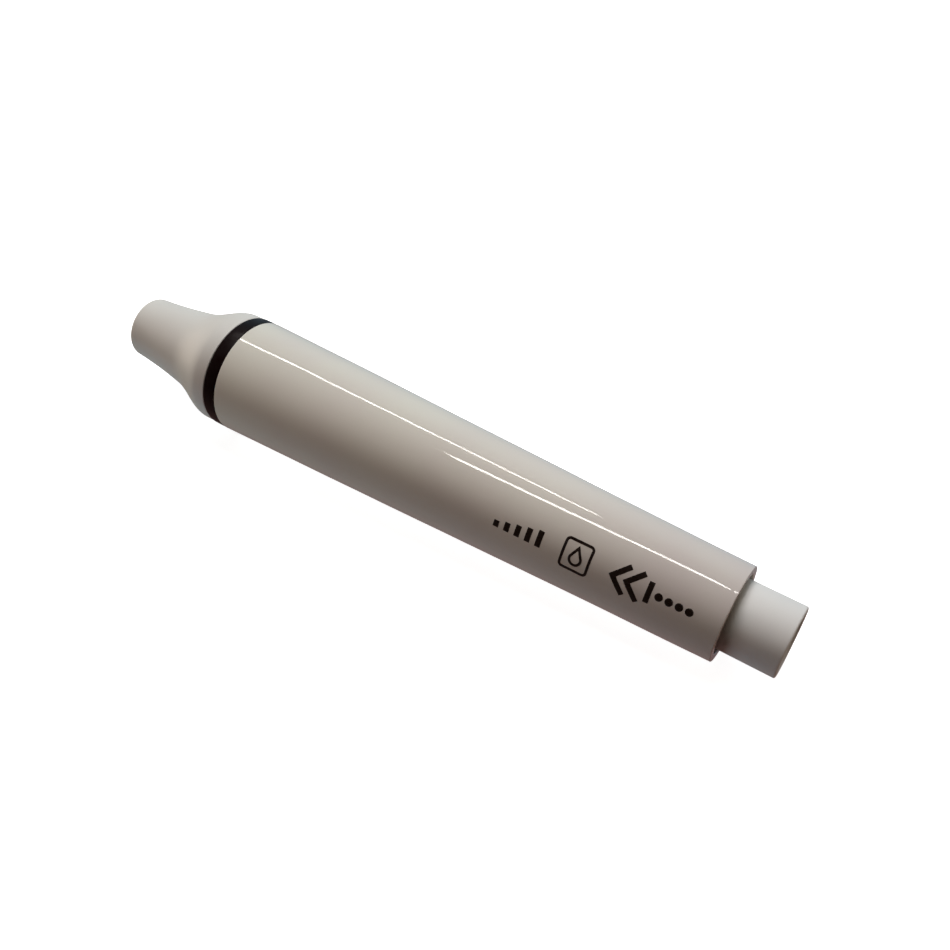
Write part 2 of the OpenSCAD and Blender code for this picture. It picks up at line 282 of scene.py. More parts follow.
class Paint:
    """A node material with short calls for the nodes that every finish uses."""

    def __init__(self, name, **sockets):
        self.mat = bpy.data.materials.new(name)
        self.mat.use_nodes = True
        self.nodes = self.mat.node_tree.nodes
        self.links = self.mat.node_tree.links
        self.shader = self.nodes["Principled BSDF"]
        self.set(**sockets)
        coordinates = self.nodes.new("ShaderNodeTexCoord")
        self.place = coordinates.outputs["Object"]
        self.bumped = None

    def set(self, **sockets):
        """Sets the shader's own sockets. An underscore in a name stands for a space."""
        for key, value in sockets.items():
            self.shader.inputs[key.replace("_", " ")].default_value = value

    def stretched(self, scale):
        """Object coordinates, which are in metres, times a scale for each axis."""
        node = self.nodes.new("ShaderNodeMapping")
        node.inputs["Scale"].default_value = scale
        self.links.new(self.place, node.inputs["Vector"])
        return node.outputs["Vector"]

    def noise(self, per_mm, detail=3, roughness=0.55, stretch=(1, 1, 1)):
        """Noise with about per_mm blobs to the millimetre."""
        node = self.nodes.new("ShaderNodeTexNoise")
        node.inputs["Scale"].default_value = 1
        node.inputs["Detail"].default_value = detail
        node.inputs["Roughness"].default_value = roughness
        scale = [s * per_mm / MM for s in stretch]
        self.links.new(self.stretched(scale), node.inputs["Vector"])
        return node.outputs["Fac"]

    def ramp(self, source, stops):
        """A colour ramp over source. stops holds (position, colour)."""
        node = self.nodes.new("ShaderNodeValToRGB")
        elements = node.color_ramp.elements
        while len(elements) < len(stops):
            elements.new(0.5)
        for element, (position, colour) in zip(elements, stops):
            element.position = position
            element.color = (*colour, 1)
        self.links.new(source, node.inputs["Fac"])
        return node.outputs["Color"]

    def between(self, source, low, high, start=0.3, stop=0.7):
        """source from start to stop, spread over low to high."""
        node = self.nodes.new("ShaderNodeMapRange")
        ends_of = {"From Min": start, "From Max": stop, "To Min": low, "To Max": high}
        for key, value in ends_of.items():
            node.inputs[key].default_value = value
        self.links.new(source, node.inputs["Value"])
        return node.outputs["Result"]

    def mix(self, factor, a, b):
        """The colours a and b, mixed by the factor socket."""
        node = self.nodes.new("ShaderNodeMix")
        node.data_type = "RGBA"
        self.links.new(factor, node.inputs["Factor"])
        for value, socket in ((a, node.inputs["A"]), (b, node.inputs["B"])):
            if isinstance(value, tuple):
                socket.default_value = (*value, 1)
            else:
                self.links.new(value, socket)
        return node.outputs["Result"]

    def colour(self, source):
        """Colours the surface by a socket."""
        self.links.new(source, self.shader.inputs["Base Color"])

    def roughness(self, source):
        """Sets the roughness by a socket."""
        self.links.new(source, self.shader.inputs["Roughness"])

    def bump(self, height, depth_mm, strength=1.0):
        """Adds relief of the given depth, on top of any bump added before."""
        node = self.nodes.new("ShaderNodeBump")
        node.inputs["Distance"].default_value = depth_mm * MM
        node.inputs["Strength"].default_value = strength
        self.links.new(height, node.inputs["Height"])
        if self.bumped:
            self.links.new(self.bumped, node.inputs["Normal"])
        self.bumped = node.outputs["Normal"]
        self.links.new(self.bumped, self.shader.inputs["Normal"])


def tinted(colour, by):
    """A colour made lighter or darker by a factor."""
    return tuple(min(1, c * by) for c in colour)


def along_x(paint, stops):
    """A colour that changes along the handpiece. stops holds (x, colour), first x lowest."""
    first, last = stops[0][0], stops[-1][0]
    split = paint.nodes.new("ShaderNodeSeparateXYZ")
    paint.links.new(paint.place, split.inputs["Vector"])
    share = paint.between(split.outputs["X"], 0, 1, first * MM, last * MM)
    return paint.ramp(share, [((x - first) / (last - first), c) for x, c in stops])


def gloss_plastic(name, rear, middle, front):
    """Polished moulding: sharp reflections, faint cloudiness, smudges and swirl marks."""
    paint = Paint(name, IOR=1.5)
    middle_x = HANDLE_FRONT * 0.35
    # The base colour darkens towards the tail: partly the moulding's warmer hue, partly painted
    # shade where the light falls off towards the tail.
    base = along_x(paint, [(HANDLE_REAR, rear), (middle_x, middle), (HANDLE_FRONT, front)])
    cloudy = paint.between(paint.noise(0.06, detail=2), 0.0, 1.0, 0.35, 0.65)
    warm = paint.mix(cloudy, tinted(rear, 1.06), front)
    mixed = paint.mix(paint.between(paint.noise(0.15, detail=1), 0.15, 0.45), base, warm)
    specks = paint.between(paint.noise(5, detail=2), 0, 0.06, 0.62, 0.8)
    paint.colour(paint.mix(specks, mixed, (0.25, 0.22, 0.19)))
    smudged = paint.noise(0.35, detail=4, roughness=0.65)
    paint.roughness(paint.between(smudged, 0.035, 0.085, 0.4, 0.7))
    paint.bump(paint.noise(0.9, detail=1), 0.0016)
    return paint.mat


def matt_plastic(name, colour, grain_mm=0.005, rough=(0.42, 0.56)):
    """Spark-textured moulding: a fine even grain and a soft shine."""
    paint = Paint(name, IOR=1.5)
    tone = paint.between(paint.noise(0.12, detail=2), 0, 1)
    mottled = paint.mix(tone, tinted(colour, 0.975), tinted(colour, 1.02))
    grime = paint.between(paint.noise(2.2, detail=4, roughness=0.7), 0, 0.10, 0.58, 0.8)
    paint.colour(paint.mix(grime, mottled, tinted(colour, 0.7)))
    paint.roughness(paint.between(paint.noise(0.5, detail=3), *rough))
    paint.bump(paint.noise(6, detail=2), grain_mm, 0.55)
    return paint.mat


def rubber(name, colour, rough=(0.30, 0.48)):
    """Satin elastomer with moulding flow lines round the ring and a little dust."""
    paint = Paint(name, IOR=1.3)
    dust = paint.between(paint.noise(1.6, detail=5, roughness=0.75), 0, 0.5, 0.62, 0.85)
    paint.colour(paint.mix(dust, colour, tuple(c + 0.02 for c in colour)))
    paint.roughness(paint.between(paint.noise(0.8, detail=3), *rough))
    paint.bump(paint.noise(0.7, detail=2, stretch=(6, 1, 1)), 0.006)
    paint.bump(paint.noise(7, detail=2), 0.003)
    return paint.mat


def turned_metal(name, colour, rough=(0.18, 0.32), rings_per_mm=7):
    """Lathe-turned metal: fine tool rings about X, with stains and fine scratches."""
    paint = Paint(name, Metallic=1.0)
    rings = paint.noise(1, detail=2, stretch=(rings_per_mm, 0.05, 0.05))
    stain = paint.between(paint.noise(0.5, detail=4), 0, 1)
    paint.colour(paint.mix(stain, tinted(colour, 0.86), tinted(colour, 1.06)))
    paint.roughness(paint.between(rings, *rough))
    paint.bump(rings, 0.004)
    paint.bump(paint.noise(2.5, detail=3), 0.001)
    return paint.mat


def plated_metal(name, colour):
    """Plated contact: smooth, with faint wear and wipe marks along X."""
    paint = Paint(name, Metallic=1.0)
    wiped = paint.noise(2.5, detail=3, stretch=(0.15, 1, 1))
    worn = paint.between(paint.noise(1.2, detail=4), 0, 0.6, 0.55, 0.8)
    paint.colour(paint.mix(worn, colour, tinted(colour, 0.72)))
    paint.roughness(paint.between(wiped, 0.16, 0.3))
    paint.bump(wiped, 0.003)
    return paint.mat


def ceramic(name, colour):
    """Sintered ceramic with a fine grain and darker pores."""
    paint = Paint(name, IOR=1.6)
    pores = paint.between(paint.noise(5, detail=3), 0, 0.7, 0.6, 0.75)
    tone = paint.mix(paint.between(paint.noise(0.4), 0, 1), tinted(colour, 0.93), colour)
    paint.colour(paint.mix(pores, tone, tinted(colour, 0.6)))
    paint.roughness(paint.between(paint.noise(2), 0.45, 0.65))
    paint.bump(paint.noise(8, detail=2), 0.004)
    return paint.mat


def soft_tube(name, colour, clear):
    """Silicone or wire insulation: waxy, with faint drawing lines along X."""
    paint = Paint(name, IOR=1.42, Subsurface_Weight=clear, Subsurface_Scale=0.0006)
    lines = paint.noise(3, detail=2, stretch=(0.05, 1, 1))
    paint.colour(paint.mix(paint.between(lines, 0, 1), tinted(colour, 0.92), colour))
    paint.roughness(paint.between(paint.noise(1), 0.28, 0.42))
    paint.bump(lines, 0.004)
    return paint.mat


def ink(name, colour):
    """Thin printed ink, a little uneven and worn at its edges."""
    paint = Paint(name, IOR=1.5)
    worn = paint.between(paint.noise(3.5, detail=4, roughness=0.7), 0, 0.35, 0.6, 0.8)
    paint.colour(paint.mix(worn, colour, tuple(c + 0.06 for c in colour)))
    paint.roughness(paint.between(paint.noise(1.5), 0.22, 0.4))
    paint.bump(paint.noise(6, detail=2), 0.002)
    return paint.mat


# Handle colours along X. The rear one is darker: partly a warmer hue of the moulding, partly
# painted shade for the light that falls off towards the tail.
HANDLE_HUES_AND_SHADE = {
    "rear": (0.592, 0.544, 0.505),
    "middle": (0.672, 0.632, 0.565),
    "front": (0.672, 0.667, 0.573),
}
NOSE_TONE = (0.646, 0.642, 0.588)
TAIL_TONE = (0.732, 0.734, 0.696)

FINISHES = {
    "handle_plastic": gloss_plastic("handle_gloss", **HANDLE_HUES_AND_SHADE),
    "nose_plastic": matt_plastic("nose_matt", NOSE_TONE),
    "tail_plastic": matt_plastic("tail_matt", TAIL_TONE),
    "seal_rubber": rubber("black_rubber", (0.006, 0.002, 0.002)),
    "collar_steel": turned_metal("collar_steel", (0.60, 0.60, 0.61)),
    "housing_plastic": matt_plastic("housing_plastic", (0.80, 0.77, 0.68), rough=(0.35, 0.5)),
    "titanium": turned_metal("horn_titanium", (0.52, 0.50, 0.47), rough=(0.22, 0.36)),
    "piezo_ceramic": ceramic("piezo_ceramic", (0.72, 0.68, 0.55)),
    "electrode_copper": plated_metal("electrode_copper", (0.78, 0.42, 0.24)),
    "sleeve_plastic": matt_plastic("sleeve_plastic", (0.84, 0.84, 0.84), rough=(0.3, 0.4)),
    "stack_steel": turned_metal("stack_steel", (0.58, 0.58, 0.60)),
    "silicone": soft_tube("silicone_tube", (0.83, 0.85, 0.85), 0.4),
    "lead_red": soft_tube("red_insulation", (0.50, 0.035, 0.025), 0.1),
    "lead_blue": soft_tube("blue_insulation", (0.03, 0.07, 0.32), 0.1),
    "carrier_plastic": matt_plastic("carrier_plastic", (0.055, 0.055, 0.06), rough=(0.3, 0.45)),
    "gold_contact": plated_metal("gold_plate", (0.88, 0.62, 0.25)),
    "print_ink": ink("print_ink", (0.017, 0.011, 0.008)),
}


def finish(obj, slot, body, *replaced):
    """Gives a new piece its material and body, and hides the CAD nodes it stands for."""
    obj.data.materials.append(FINISHES[slot])
    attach(obj, body)
    if replaced:
        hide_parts(*replaced)
    return obj


# ---- pieces of the outside ----


def handle_shell():
    """The glossy handle, with a stepped bore and a narrower opening at its rear."""
    corner = HANDLE_EDGE - 0.01
    taper_front, taper_rear = HANDLE_FRONT - 28.35, HANDLE_FRONT - 41.35
    outline = HANDLE_CURVE + rounded([
        (HANDLE_FRONT, HANDLE_R, corner),
        (HANDLE_FRONT, FRONT_BORE_R, 0.1),
        (HANDLE_FRONT - COLLAR_SEAT_LEN, FRONT_BORE_R),
        (HANDLE_FRONT - COLLAR_SEAT_LEN, MID_BORE_R),
        (taper_front, MID_BORE_R),
        (taper_rear, REAR_BORE_R),
        (HANDLE_REAR + APERTURE_DEPTH, REAR_BORE_R),
        (HANDLE_REAR + APERTURE_DEPTH, APERTURE_R),
        (HANDLE_REAR, APERTURE_R, HANDLE_EDGE),
        (HANDLE_REAR, HANDLE_REAR_R, corner),
    ], before=HANDLE_CURVE[-1], after=HANDLE_CURVE[0])

    def shape(x, r, angle, i):
        outside = i < len(HANDLE_CURVE)
        return x, r + (waviness(x, angle) if outside else 0)

    piece = turned("handle_body", outline, even_angles(FACETS), shape)
    return finish(piece, "handle_plastic", "handle", "handle_shell")


def nose_cone():
    """The nose: a shoulder that falls to a waist, and a slight cone with a round mouth."""
    curve_steps = 36
    land = (NOSE_REAR + 1.9, NOSE_R)
    valley = (NOSE_REAR + 9.8, NOSE_VALLEY_R)
    lip = (NOSE_FRONT - 0.8, NOSE_EDGE_R)
    shoulder = bezier(land, (land[0] + 1.9, NOSE_R),
                      (valley[0] - 3.3, valley[1] + 0.58), valley, curve_steps)
    cone = bezier(valley, (valley[0] + 4.8, valley[1] - 0.84),
                  (lip[0] - 3, lip[1] + 0.26), lip, curve_steps)
    mouth_rear = (NOSE_REAR + 12, NOSE_MOUTH_R)
    front = rounded([
        lip,
        (NOSE_FRONT, NOSE_EDGE_R - 0.02, 0.76),
        (NOSE_FRONT, NOSE_MOUTH_R, 0.3),
    ], 10, after=mouth_rear)
    thread_r = COLLAR_THREAD_R + RUN_GAP
    bead_x, groove_front = NOSE_REAR + 0.6, NOSE_REAR + 1.3
    bead_r, groove_r = 8.05, 8.3
    inside = rounded([
        (*mouth_rear, 0.5),
        (NOSE_REAR + 11, 4.0, 0.4),
        (NOSE_REAR + 8.4, 4.6),
        (NOSE_REAR + 7, 5.6),
        (NOSE_REAR + 6, thread_r),
        (groove_front, thread_r),
        (groove_front, groove_r),
        (bead_x, groove_r),
        (bead_x, bead_r),
        (NOSE_REAR, bead_r, 0.1),
        (NOSE_REAR, NOSE_R, 0.18),
    ], before=(NOSE_FRONT, NOSE_MOUTH_R), after=shoulder[0])
    outline = shoulder + cone[1:] + front[1:] + inside
    piece = turned("nose_cone_shell", outline, even_angles(FACETS))
    return finish(piece, "nose_plastic", "nose", "nose_cone")


def seal_ring():
    """The black ring, with a crowned band and a hooked lip that snaps into the nose."""
    bore_r, lip_r = COLLAR_THREAD_R + 2 * RUN_GAP, 8.0
    crown, edge = 0.02, 0.22
    hook_x, hook_height = NOSE_REAR + 0.7, 0.25
    outline = rounded([
        (RING_REAR, bore_r, 0.12),
        (RING_REAR, RING_R - crown, edge),
        ((RING_REAR + NOSE_REAR) / 2, RING_R),
        (NOSE_REAR, RING_R - crown, edge),
        (NOSE_REAR, lip_r),
        (hook_x, lip_r),
        (hook_x, lip_r + hook_height, 0.08),
        (RING_TIP, lip_r),
        (RING_TIP, bore_r, 0.1),
    ])
    piece = turned("seal_ring_band", outline, even_angles(160))
    return finish(piece, "seal_rubber", "ring", "seal_ring")


def tail_socket():
    """The matt tail, with a seal groove, a flange, a stepped bore and a key slot at +Z."""
    oring_x, oring_r = HANDLE_REAR + 2.15, 0.55
    groove_half, groove_r = oring_r + 0.1, APERTURE_R - 2 * oring_r
    groove_rear, groove_front = oring_x - groove_half, oring_x + groove_half
    inner_r, sleeve_r = TAIL_R - 0.1, 5.65
    flange_rear = HANDLE_REAR + APERTURE_DEPTH
    flange_front = flange_rear + 2.5
    outline = rounded([
        (TAIL_END, TAIL_R, 0.3),
        (groove_rear, TAIL_R, 0.05),
        (groove_rear, groove_r),
        (groove_front, groove_r),
        (groove_front, inner_r),
        (flange_rear, inner_r),
        (flange_rear, TAIL_FLANGE_R),
        (flange_front, TAIL_FLANGE_R),
        (flange_front, sleeve_r),
        (TAIL_FRONT, sleeve_r),
        (TAIL_FRONT, THROAT_R),
        (CARRIER_FRONT, THROAT_R),
        (CARRIER_FRONT, SOCKET_R),
    ], 8, before=(TAIL_END, SOCKET_R))
    key_front, key_half_width, key_depth = HANDLE_REAR - 1, 0.7, 0.5
    bore = [(x, SOCKET_R) for x in (key_front + 0.01, key_front, -3, -6)]
    first_deep = len(outline) + 1  # the bore's second point, where the key slot begins
    mouth = rounded([bore[-1], (TAIL_END, SOCKET_R, 0.3), (TAIL_END, TAIL_R)])[1:-1]
    angles, in_key = slot_angles(128, key_half_width, SOCKET_R, [math.pi / 2])

    def shape(x, r, angle, i):
        deep = i >= first_deep and in_key(angle)
        return x, r + (key_depth if deep else 0)

    piece = turned("tail_spigot_body", outline + bore + mouth, angles, shape)
    return finish(piece, "tail_plastic", "handle", "tail_socket")


def front_collar():
    """The steel bush: a seat in the handle, the nose's thread and two notches in front."""
    pitch, depth, run_in = 1.0, 0.5, 0.6
    notch_half_width, notch_depth = 0.8, 1.5
    body_r, root_r = MID_BORE_R - PRESS_GAP, COLLAR_THREAD_R - depth
    thread_start = HANDLE_FRONT + 0.15
    notch_floor = COLLAR_FRONT - notch_depth
    steps = round((COLLAR_FRONT - thread_start) / pitch * THREAD_STATIONS_PER_TURN)
    thread = [(x, COLLAR_THREAD_R) for x in spaced(thread_start, COLLAR_FRONT, steps)]
    behind = rounded([
        (COLLAR_REAR, COLLAR_BORE_R, 0.15),
        (COLLAR_REAR, body_r, 0.1),
        (HANDLE_FRONT - COLLAR_SEAT_LEN, body_r),
        (HANDLE_FRONT - COLLAR_SEAT_LEN, COLLAR_SEAT_R),
        (HANDLE_FRONT, COLLAR_SEAT_R, 0.08),
        (HANDLE_FRONT, root_r),
    ], before=(COLLAR_FRONT, COLLAR_BORE_R))
    chamfer = 0.12
    front = [(COLLAR_FRONT, COLLAR_BORE_R + chamfer), (COLLAR_FRONT - chamfer, COLLAR_BORE_R)]
    outline = behind + thread + front
    first, last = len(behind), len(outline) - 1
    floor_at = first + sum(x < notch_floor - 0.01 for x, _ in thread)
    notches = [math.pi / 2, -math.pi / 2]
    angles, in_notch = slot_angles(128, notch_half_width, COLLAR_BORE_R, notches)

    def thread_r(x, angle):
        lead_in = root_r + COLLAR_FRONT - x
        full = thread_radius(x, angle, COLLAR_THREAD_R, depth, pitch, thread_start, run_in)
        return min(full, lead_in)

    def shape(x, r, angle, i):
        if i >= floor_at and in_notch(angle):
            share = (i - floor_at) / (last - floor_at)
            outer = thread_r(notch_floor, angle)
            return notch_floor, outer + (COLLAR_BORE_R - outer) * share
        if first <= i < first + len(thread):
            return x, thread_r(x, angle)
        return x, r

    piece = turned("front_collar_bush", outline, angles, shape, sharp_deg=50)
    return finish(piece, "collar_steel", "handle", "front_collar")


def horn():
    """The titanium horn: a flange, a taper to the rod, the tip stud and a water channel."""
    pitch, depth, run_in = 0.5, 0.27, 0.35
    root_r, mass_r, tap_r, hub_r = STUD_R - depth, 4.6, 2.02, 5.2
    flange_rear, flange_front = HORN_REAR + 8.9, HORN_REAR + 10.9
    taper_start, taper_end = HORN_REAR + 13.1, HORN_REAR + 21.7
    tap_end, tip_seat = HORN_REAR + 6.7, HORN_FRONT - 4.2
    thread_start = tip_seat + 0.1
    body = rounded([
        (HORN_REAR, tap_r, 0.1),
        (HORN_REAR, mass_r, 0.2),
        (HORN_REAR + 5.7, mass_r),
        (HORN_REAR + 6.3, hub_r),
        (flange_rear, hub_r, 0.15),
        (flange_rear, FLANGE_R, 0.1),
        (flange_front, FLANGE_R, 0.1),
        (flange_front, hub_r, 0.15),
        (taper_start, hub_r, 1.5),
        (taper_end, HORN_ROD_R, 3.0),
        (tip_seat, HORN_ROD_R, 0.12),
        (tip_seat, root_r, 0.06),
    ], 8, before=(tap_end, tap_r), after=(HORN_FRONT, root_r))
    steps = round((HORN_FRONT - tip_seat) / pitch * THREAD_STATIONS_PER_TURN)
    thread = [(x, STUD_R) for x in spaced(thread_start, HORN_FRONT, steps)]
    chamfer = 0.08
    bore = [
        (HORN_FRONT, WATER_R + chamfer),
        (HORN_FRONT - chamfer, WATER_R),
        (tap_end + 1, WATER_R),
        (tap_end, tap_r),
    ]
    first = len(body)

    def shape(x, r, angle, i):
        if first <= i < first + len(thread):
            lead_in = STUD_R - 0.3 + (HORN_FRONT - x) * 0.9
            full = thread_radius(x, angle, STUD_R, depth, pitch, thread_start, run_in)
            return x, min(full, lead_in)
        return x, r

    piece = turned("horn_body", body + thread + bore, even_angles(96), shape, sharp_deg=50)
    return finish(piece, "titanium", "handle", "horn")


# ---- pieces inside the tail ----


def contact_pin(side, node):
    """A plated pin with a round tip, held in the carrier by a collar. side is its side in Y."""
    root_r, collar_r, tip_round = 0.75, 1.0, 0.3
    outline = rounded([
        (PIN_END, 0),
        (PIN_END, PIN_R, tip_round),
        (CARRIER_REAR, PIN_R),
        (CARRIER_REAR, root_r, 0.06),
        (HELD_REAR, root_r),
        (HELD_REAR, collar_r),
        (HELD_FRONT, collar_r),
        (HELD_FRONT, root_r),
        (CARRIER_FRONT, root_r),
        (CARRIER_FRONT, PIN_R),
        (PIN_FRONT, PIN_R, 0.1),
        (PIN_FRONT, 0),
    ], 8)
    piece = turned(node + "_plated", outline, even_angles(48), at=(side * PIN_Y, 0))
    return finish(piece, "gold_contact", "handle", node)


def water_nipple():
    """The water tube in the middle of the tail, with a seal groove and a hose barb."""
    seal_x, groove_half, groove_r = HANDLE_REAR - 2.15, 0.45, NIPPLE_R - 0.35
    barb_r, barb_tip_r, barb_len = 0.9, 0.72, 1.4
    outline = rounded([
        (NIPPLE_END, WATER_R, 0.08),
        (NIPPLE_END, NIPPLE_R, 0.25),
        (seal_x - groove_half, NIPPLE_R, 0.05),
        (seal_x - groove_half, groove_r, 0.05),
        (seal_x + groove_half, groove_r, 0.05),
        (seal_x + groove_half, NIPPLE_R, 0.05),
        (HELD_REAR, NIPPLE_R),
        (HELD_REAR, NIPPLE_COLLAR_R),
        (HELD_FRONT, NIPPLE_COLLAR_R),
        (HELD_FRONT, NIPPLE_R),
        (CARRIER_FRONT, NIPPLE_R),
        (CARRIER_FRONT, barb_r),
        (NIPPLE_FRONT - barb_len, barb_r),
        (NIPPLE_FRONT, barb_tip_r, 0.1),
        (NIPPLE_FRONT, WATER_R, 0.08),
    ])
    piece = turned("water_nipple_body", outline, even_angles(64))
    return finish(piece, "stack_steel", "handle", "water_nipple")


# ---- printed marks ----

INK_LIFT = 0.014
INK_SUNK = 0.01
MARK_ANGLE = math.radians(35.7)  # from +Y towards +Z
MITRE_LIMIT = 0.35


def on_handle(u, v, centre_x, lift):
    """The spot on the handle u mm towards the tail and v mm round from a mark's centre."""
    x = centre_x - u
    r = handle_radius(x)
    angle = MARK_ANGLE + v / r
    r += waviness(x, angle) + lift
    return (x, r * math.cos(angle), r * math.sin(angle))


def divided(points, step=0.2, closed=False):
    """A line of (u, v) points with extra points, so that it can follow the surface."""
    out = []
    runs = list(zip(points, points[1:] + points[:1]))
    for a, b in runs if closed else runs[:-1]:
        n = max(1, math.ceil(math.dist(a, b) / step))
        out += [(a[0] + (b[0] - a[0]) * k / n, a[1] + (b[1] - a[1]) * k / n) for k in range(n)]
    return out if closed else out + [points[-1]]


def slab(bm, grid, centre_x, closed):
    """A thin closed patch of ink over a grid of (u, v) rows."""
    layers = [[[bm.verts.new(on_handle(u, v, centre_x, lift)) for u, v in row] for row in grid]
              for lift in (INK_LIFT, -INK_SUNK)]
    rows, columns = len(grid), len(grid[0])
    for layer in layers:
        for i in range(rows if closed else rows - 1):
            a, b = layer[i], layer[(i + 1) % rows]
            for k in range(columns - 1):
                bm.faces.new((a[k], a[k + 1], b[k + 1], b[k]))
    top, bottom = layers
    for i in range(rows if closed else rows - 1):
        n = (i + 1) % rows
        for k in (0, columns - 1):
            bm.faces.new((top[i][k], top[n][k], bottom[n][k], bottom[i][k]))
    if not closed:
        for i in (0, rows - 1):
            for k in range(columns - 1):
                bm.faces.new((top[i][k], top[i][k + 1], bottom[i][k + 1], bottom[i][k]))


def stroke(bm, points, width, centre_x, closed=False):
    """A line of ink with mitred corners."""
    line = divided(points, closed=closed)
    grid = []
    for i, p in enumerate(line):
        here = Vector(p)
        last = Vector(line[i - 1]) if closed or i else None
        after = Vector(line[(i + 1) % len(line)]) if closed or i < len(line) - 1 else None
        into = (here - last).normalized() if last else (after - here).normalized()
        out = (after - here).normalized() if after else into
        side = Vector((-(into + out).y, (into + out).x)).normalized()
        reach = width / 2 / max(MITRE_LIMIT, side.dot(Vector((-into.y, into.x))))
        grid.append([tuple(here + side * reach * k) for k in (-1, 0, 1)])
    slab(bm, grid, centre_x, closed)


def ring_points(u, v, radius, start=0, stop=360, steps=28):
    """Points round an arc about (u, v), from start to stop in degrees."""
    out = []
    for k in range(steps + 1):
        a = math.radians(start + (stop - start) * k / steps)
        out.append((u + radius * math.cos(a), v + radius * math.sin(a)))
    return out


def mark(name, centre_x, draw):
    """One printed mark: draw(line) is given a function that adds a line of ink."""
    bm = bmesh.new()
    draw(lambda points, width, closed=False: stroke(bm, points, width, centre_x, closed))
    return finish(mesh_object(name, bm), "print_ink", "handle")


def level_bars(line):
    """Five bars that rise towards the tail."""
    count, pitch, width, low, high = 5, 1.7, 0.85, 1.0, 2.5
    for k in range(count):
        u = (k - (count - 1) / 2) * pitch
        top = low + (high - low) * k / (count - 1)
        line([(u, -high / 2), (u, top - high / 2)], width)


def drop_in_box(line):
    """A rounded square with a drop of water in it."""
    half_u, half_v, corner = 2.05, 2.2, 0.5
    box = []
    for u, v, start in ((1, 1, 0), (-1, 1, 90), (-1, -1, 180), (1, -1, 270)):
        centre = (u * (half_u - corner), v * (half_v - corner))
        box += ring_points(*centre, corner, start, start + 90, 5)
    line(box, 0.4, closed=True)
    bulb = ring_points(0, -0.45, 0.85, -215, 35, 20)
    tip = (0, 1.3)
    line(bulb + [tip], 0.38, closed=True)


def nose_chevrons(line):
    """Two bold chevrons that point to the nose, with a bar behind them."""
    width, length, half_height = 0.8, 2.1, 2.2
    for tip in (-2.75, -0.6):
        line([(tip + length, half_height), (tip, 0), (tip + length, -half_height)], width)
    line([(2.75, 1.6), (2.75, -1.6)], width)


def dot_row(line):
    """Four dots, each a closed ring of ink whose width fills it."""
    count, pitch, radius, width = 4, 1.5, 0.3, 0.58
    for k in range(count):
        u = (k - (count - 1) / 2) * pitch
        line(ring_points(u, 0, radius, 0, 345, 11), width, closed=True)


# Each mark's piece, its centre along X and its drawing
MARKS = (
    ("print_level_bars", 31.0, level_bars),
    ("print_drop_box", 21.8, drop_in_box),
    ("print_nose_chevrons", 13.4, nose_chevrons),
    ("print_dot_row", 6.9, dot_row),
)


# ---- the CAD nodes' own materials ----


def paint_cad_nodes():
    """Gives every CAD node the finish of its slot."""
    for part in frame["record"]["subparts"]:
        mesh = frame["nodes"][part["node"]].data
        mesh.materials.clear()
        mesh.materials.append(FINISHES[part["material_slot"]])


# ---- the studio ----

# The camera and the lamps are placed in metres
CAMERA_AT = (-0.01378, 0.08746, 0.12468)
CAMERA_FORWARD = (0.35114, -0.54538, -0.76110)
CAMERA_RIGHT = (-0.84080, -0.54135, 0)
LENS_MM = 40.46
SENSOR_MM = 36
AIM = Vector((0.045, 0, 0))


def axes_matrix(at, first, second, third):
    """The place and turn of an object whose own X, Y and Z point along three directions."""
    return Matrix.Translation(at) @ Matrix((first, second, third)).transposed().to_4x4()


def camera():
    """A camera at the photograph's angle and distance."""
    data = bpy.data.cameras.new("camera")
    data.lens, data.sensor_width = LENS_MM, SENSOR_MM
    data.clip_start, data.clip_end = 0.01, 50
    cam = bpy.data.objects.new("camera", data)
    forward, right = Vector(CAMERA_FORWARD).normalized(), Vector(CAMERA_RIGHT).normalized()
    cam.matrix_world = axes_matrix(CAMERA_AT, right, right.cross(forward), -forward)
    bpy.context.scene.collection.objects.link(cam)
    bpy.context.scene.camera = cam


def panel(name, at, along, facing, size, radiance, colour):
    """A flat lamp of even radiance. along is the direction of its first side."""
    light = bpy.data.lights.new(name, "AREA")
    light.shape = "RECTANGLE"
    light.size, light.size_y = size
    light.energy = radiance * math.pi * size[0] * size[1]
    light.color = colour
    lamp = bpy.data.objects.new(name, light)
    back = -Vector(facing).normalized()
    second = back.cross(Vector(along).normalized()).normalized()
    lamp.matrix_world = axes_matrix(at, second.cross(back), second, back)
    bpy.context.scene.collection.objects.link(lamp)
    return lamp


def tube_lamp(name, start, end, width, radiance, colour):
    """A long thin lamp from start to end that faces the handpiece."""
    start, end = Vector(start), Vector(end)
    middle, run = (start + end) / 2, end - start
    return panel(name, middle, run, AIM - middle, (run.length, width), radiance, colour)


def soft_panel(name, angle, x, distance, size, radiance, colour):
    """A lamp at an angle about the handpiece, from +Y towards +Z. No reflection shows it."""
    turn = math.radians(angle)
    at = Vector((x, distance * math.cos(turn), distance * math.sin(turn)))
    lamp = panel(name, at, (1, 0, 0), AIM - at, (size, size), radiance, colour)
    lamp.visible_glossy = False


def glint_panel(name, at, size, radiance, colour):
    """A lamp that only reflections show. It draws the light lines along edges."""
    facing = Vector((NOSE_REAR * MM, 0, 0)) - Vector(at)
    lamp = panel(name, at, (0, 1, 0), facing, (size, size), radiance, colour)
    lamp.visible_diffuse = False


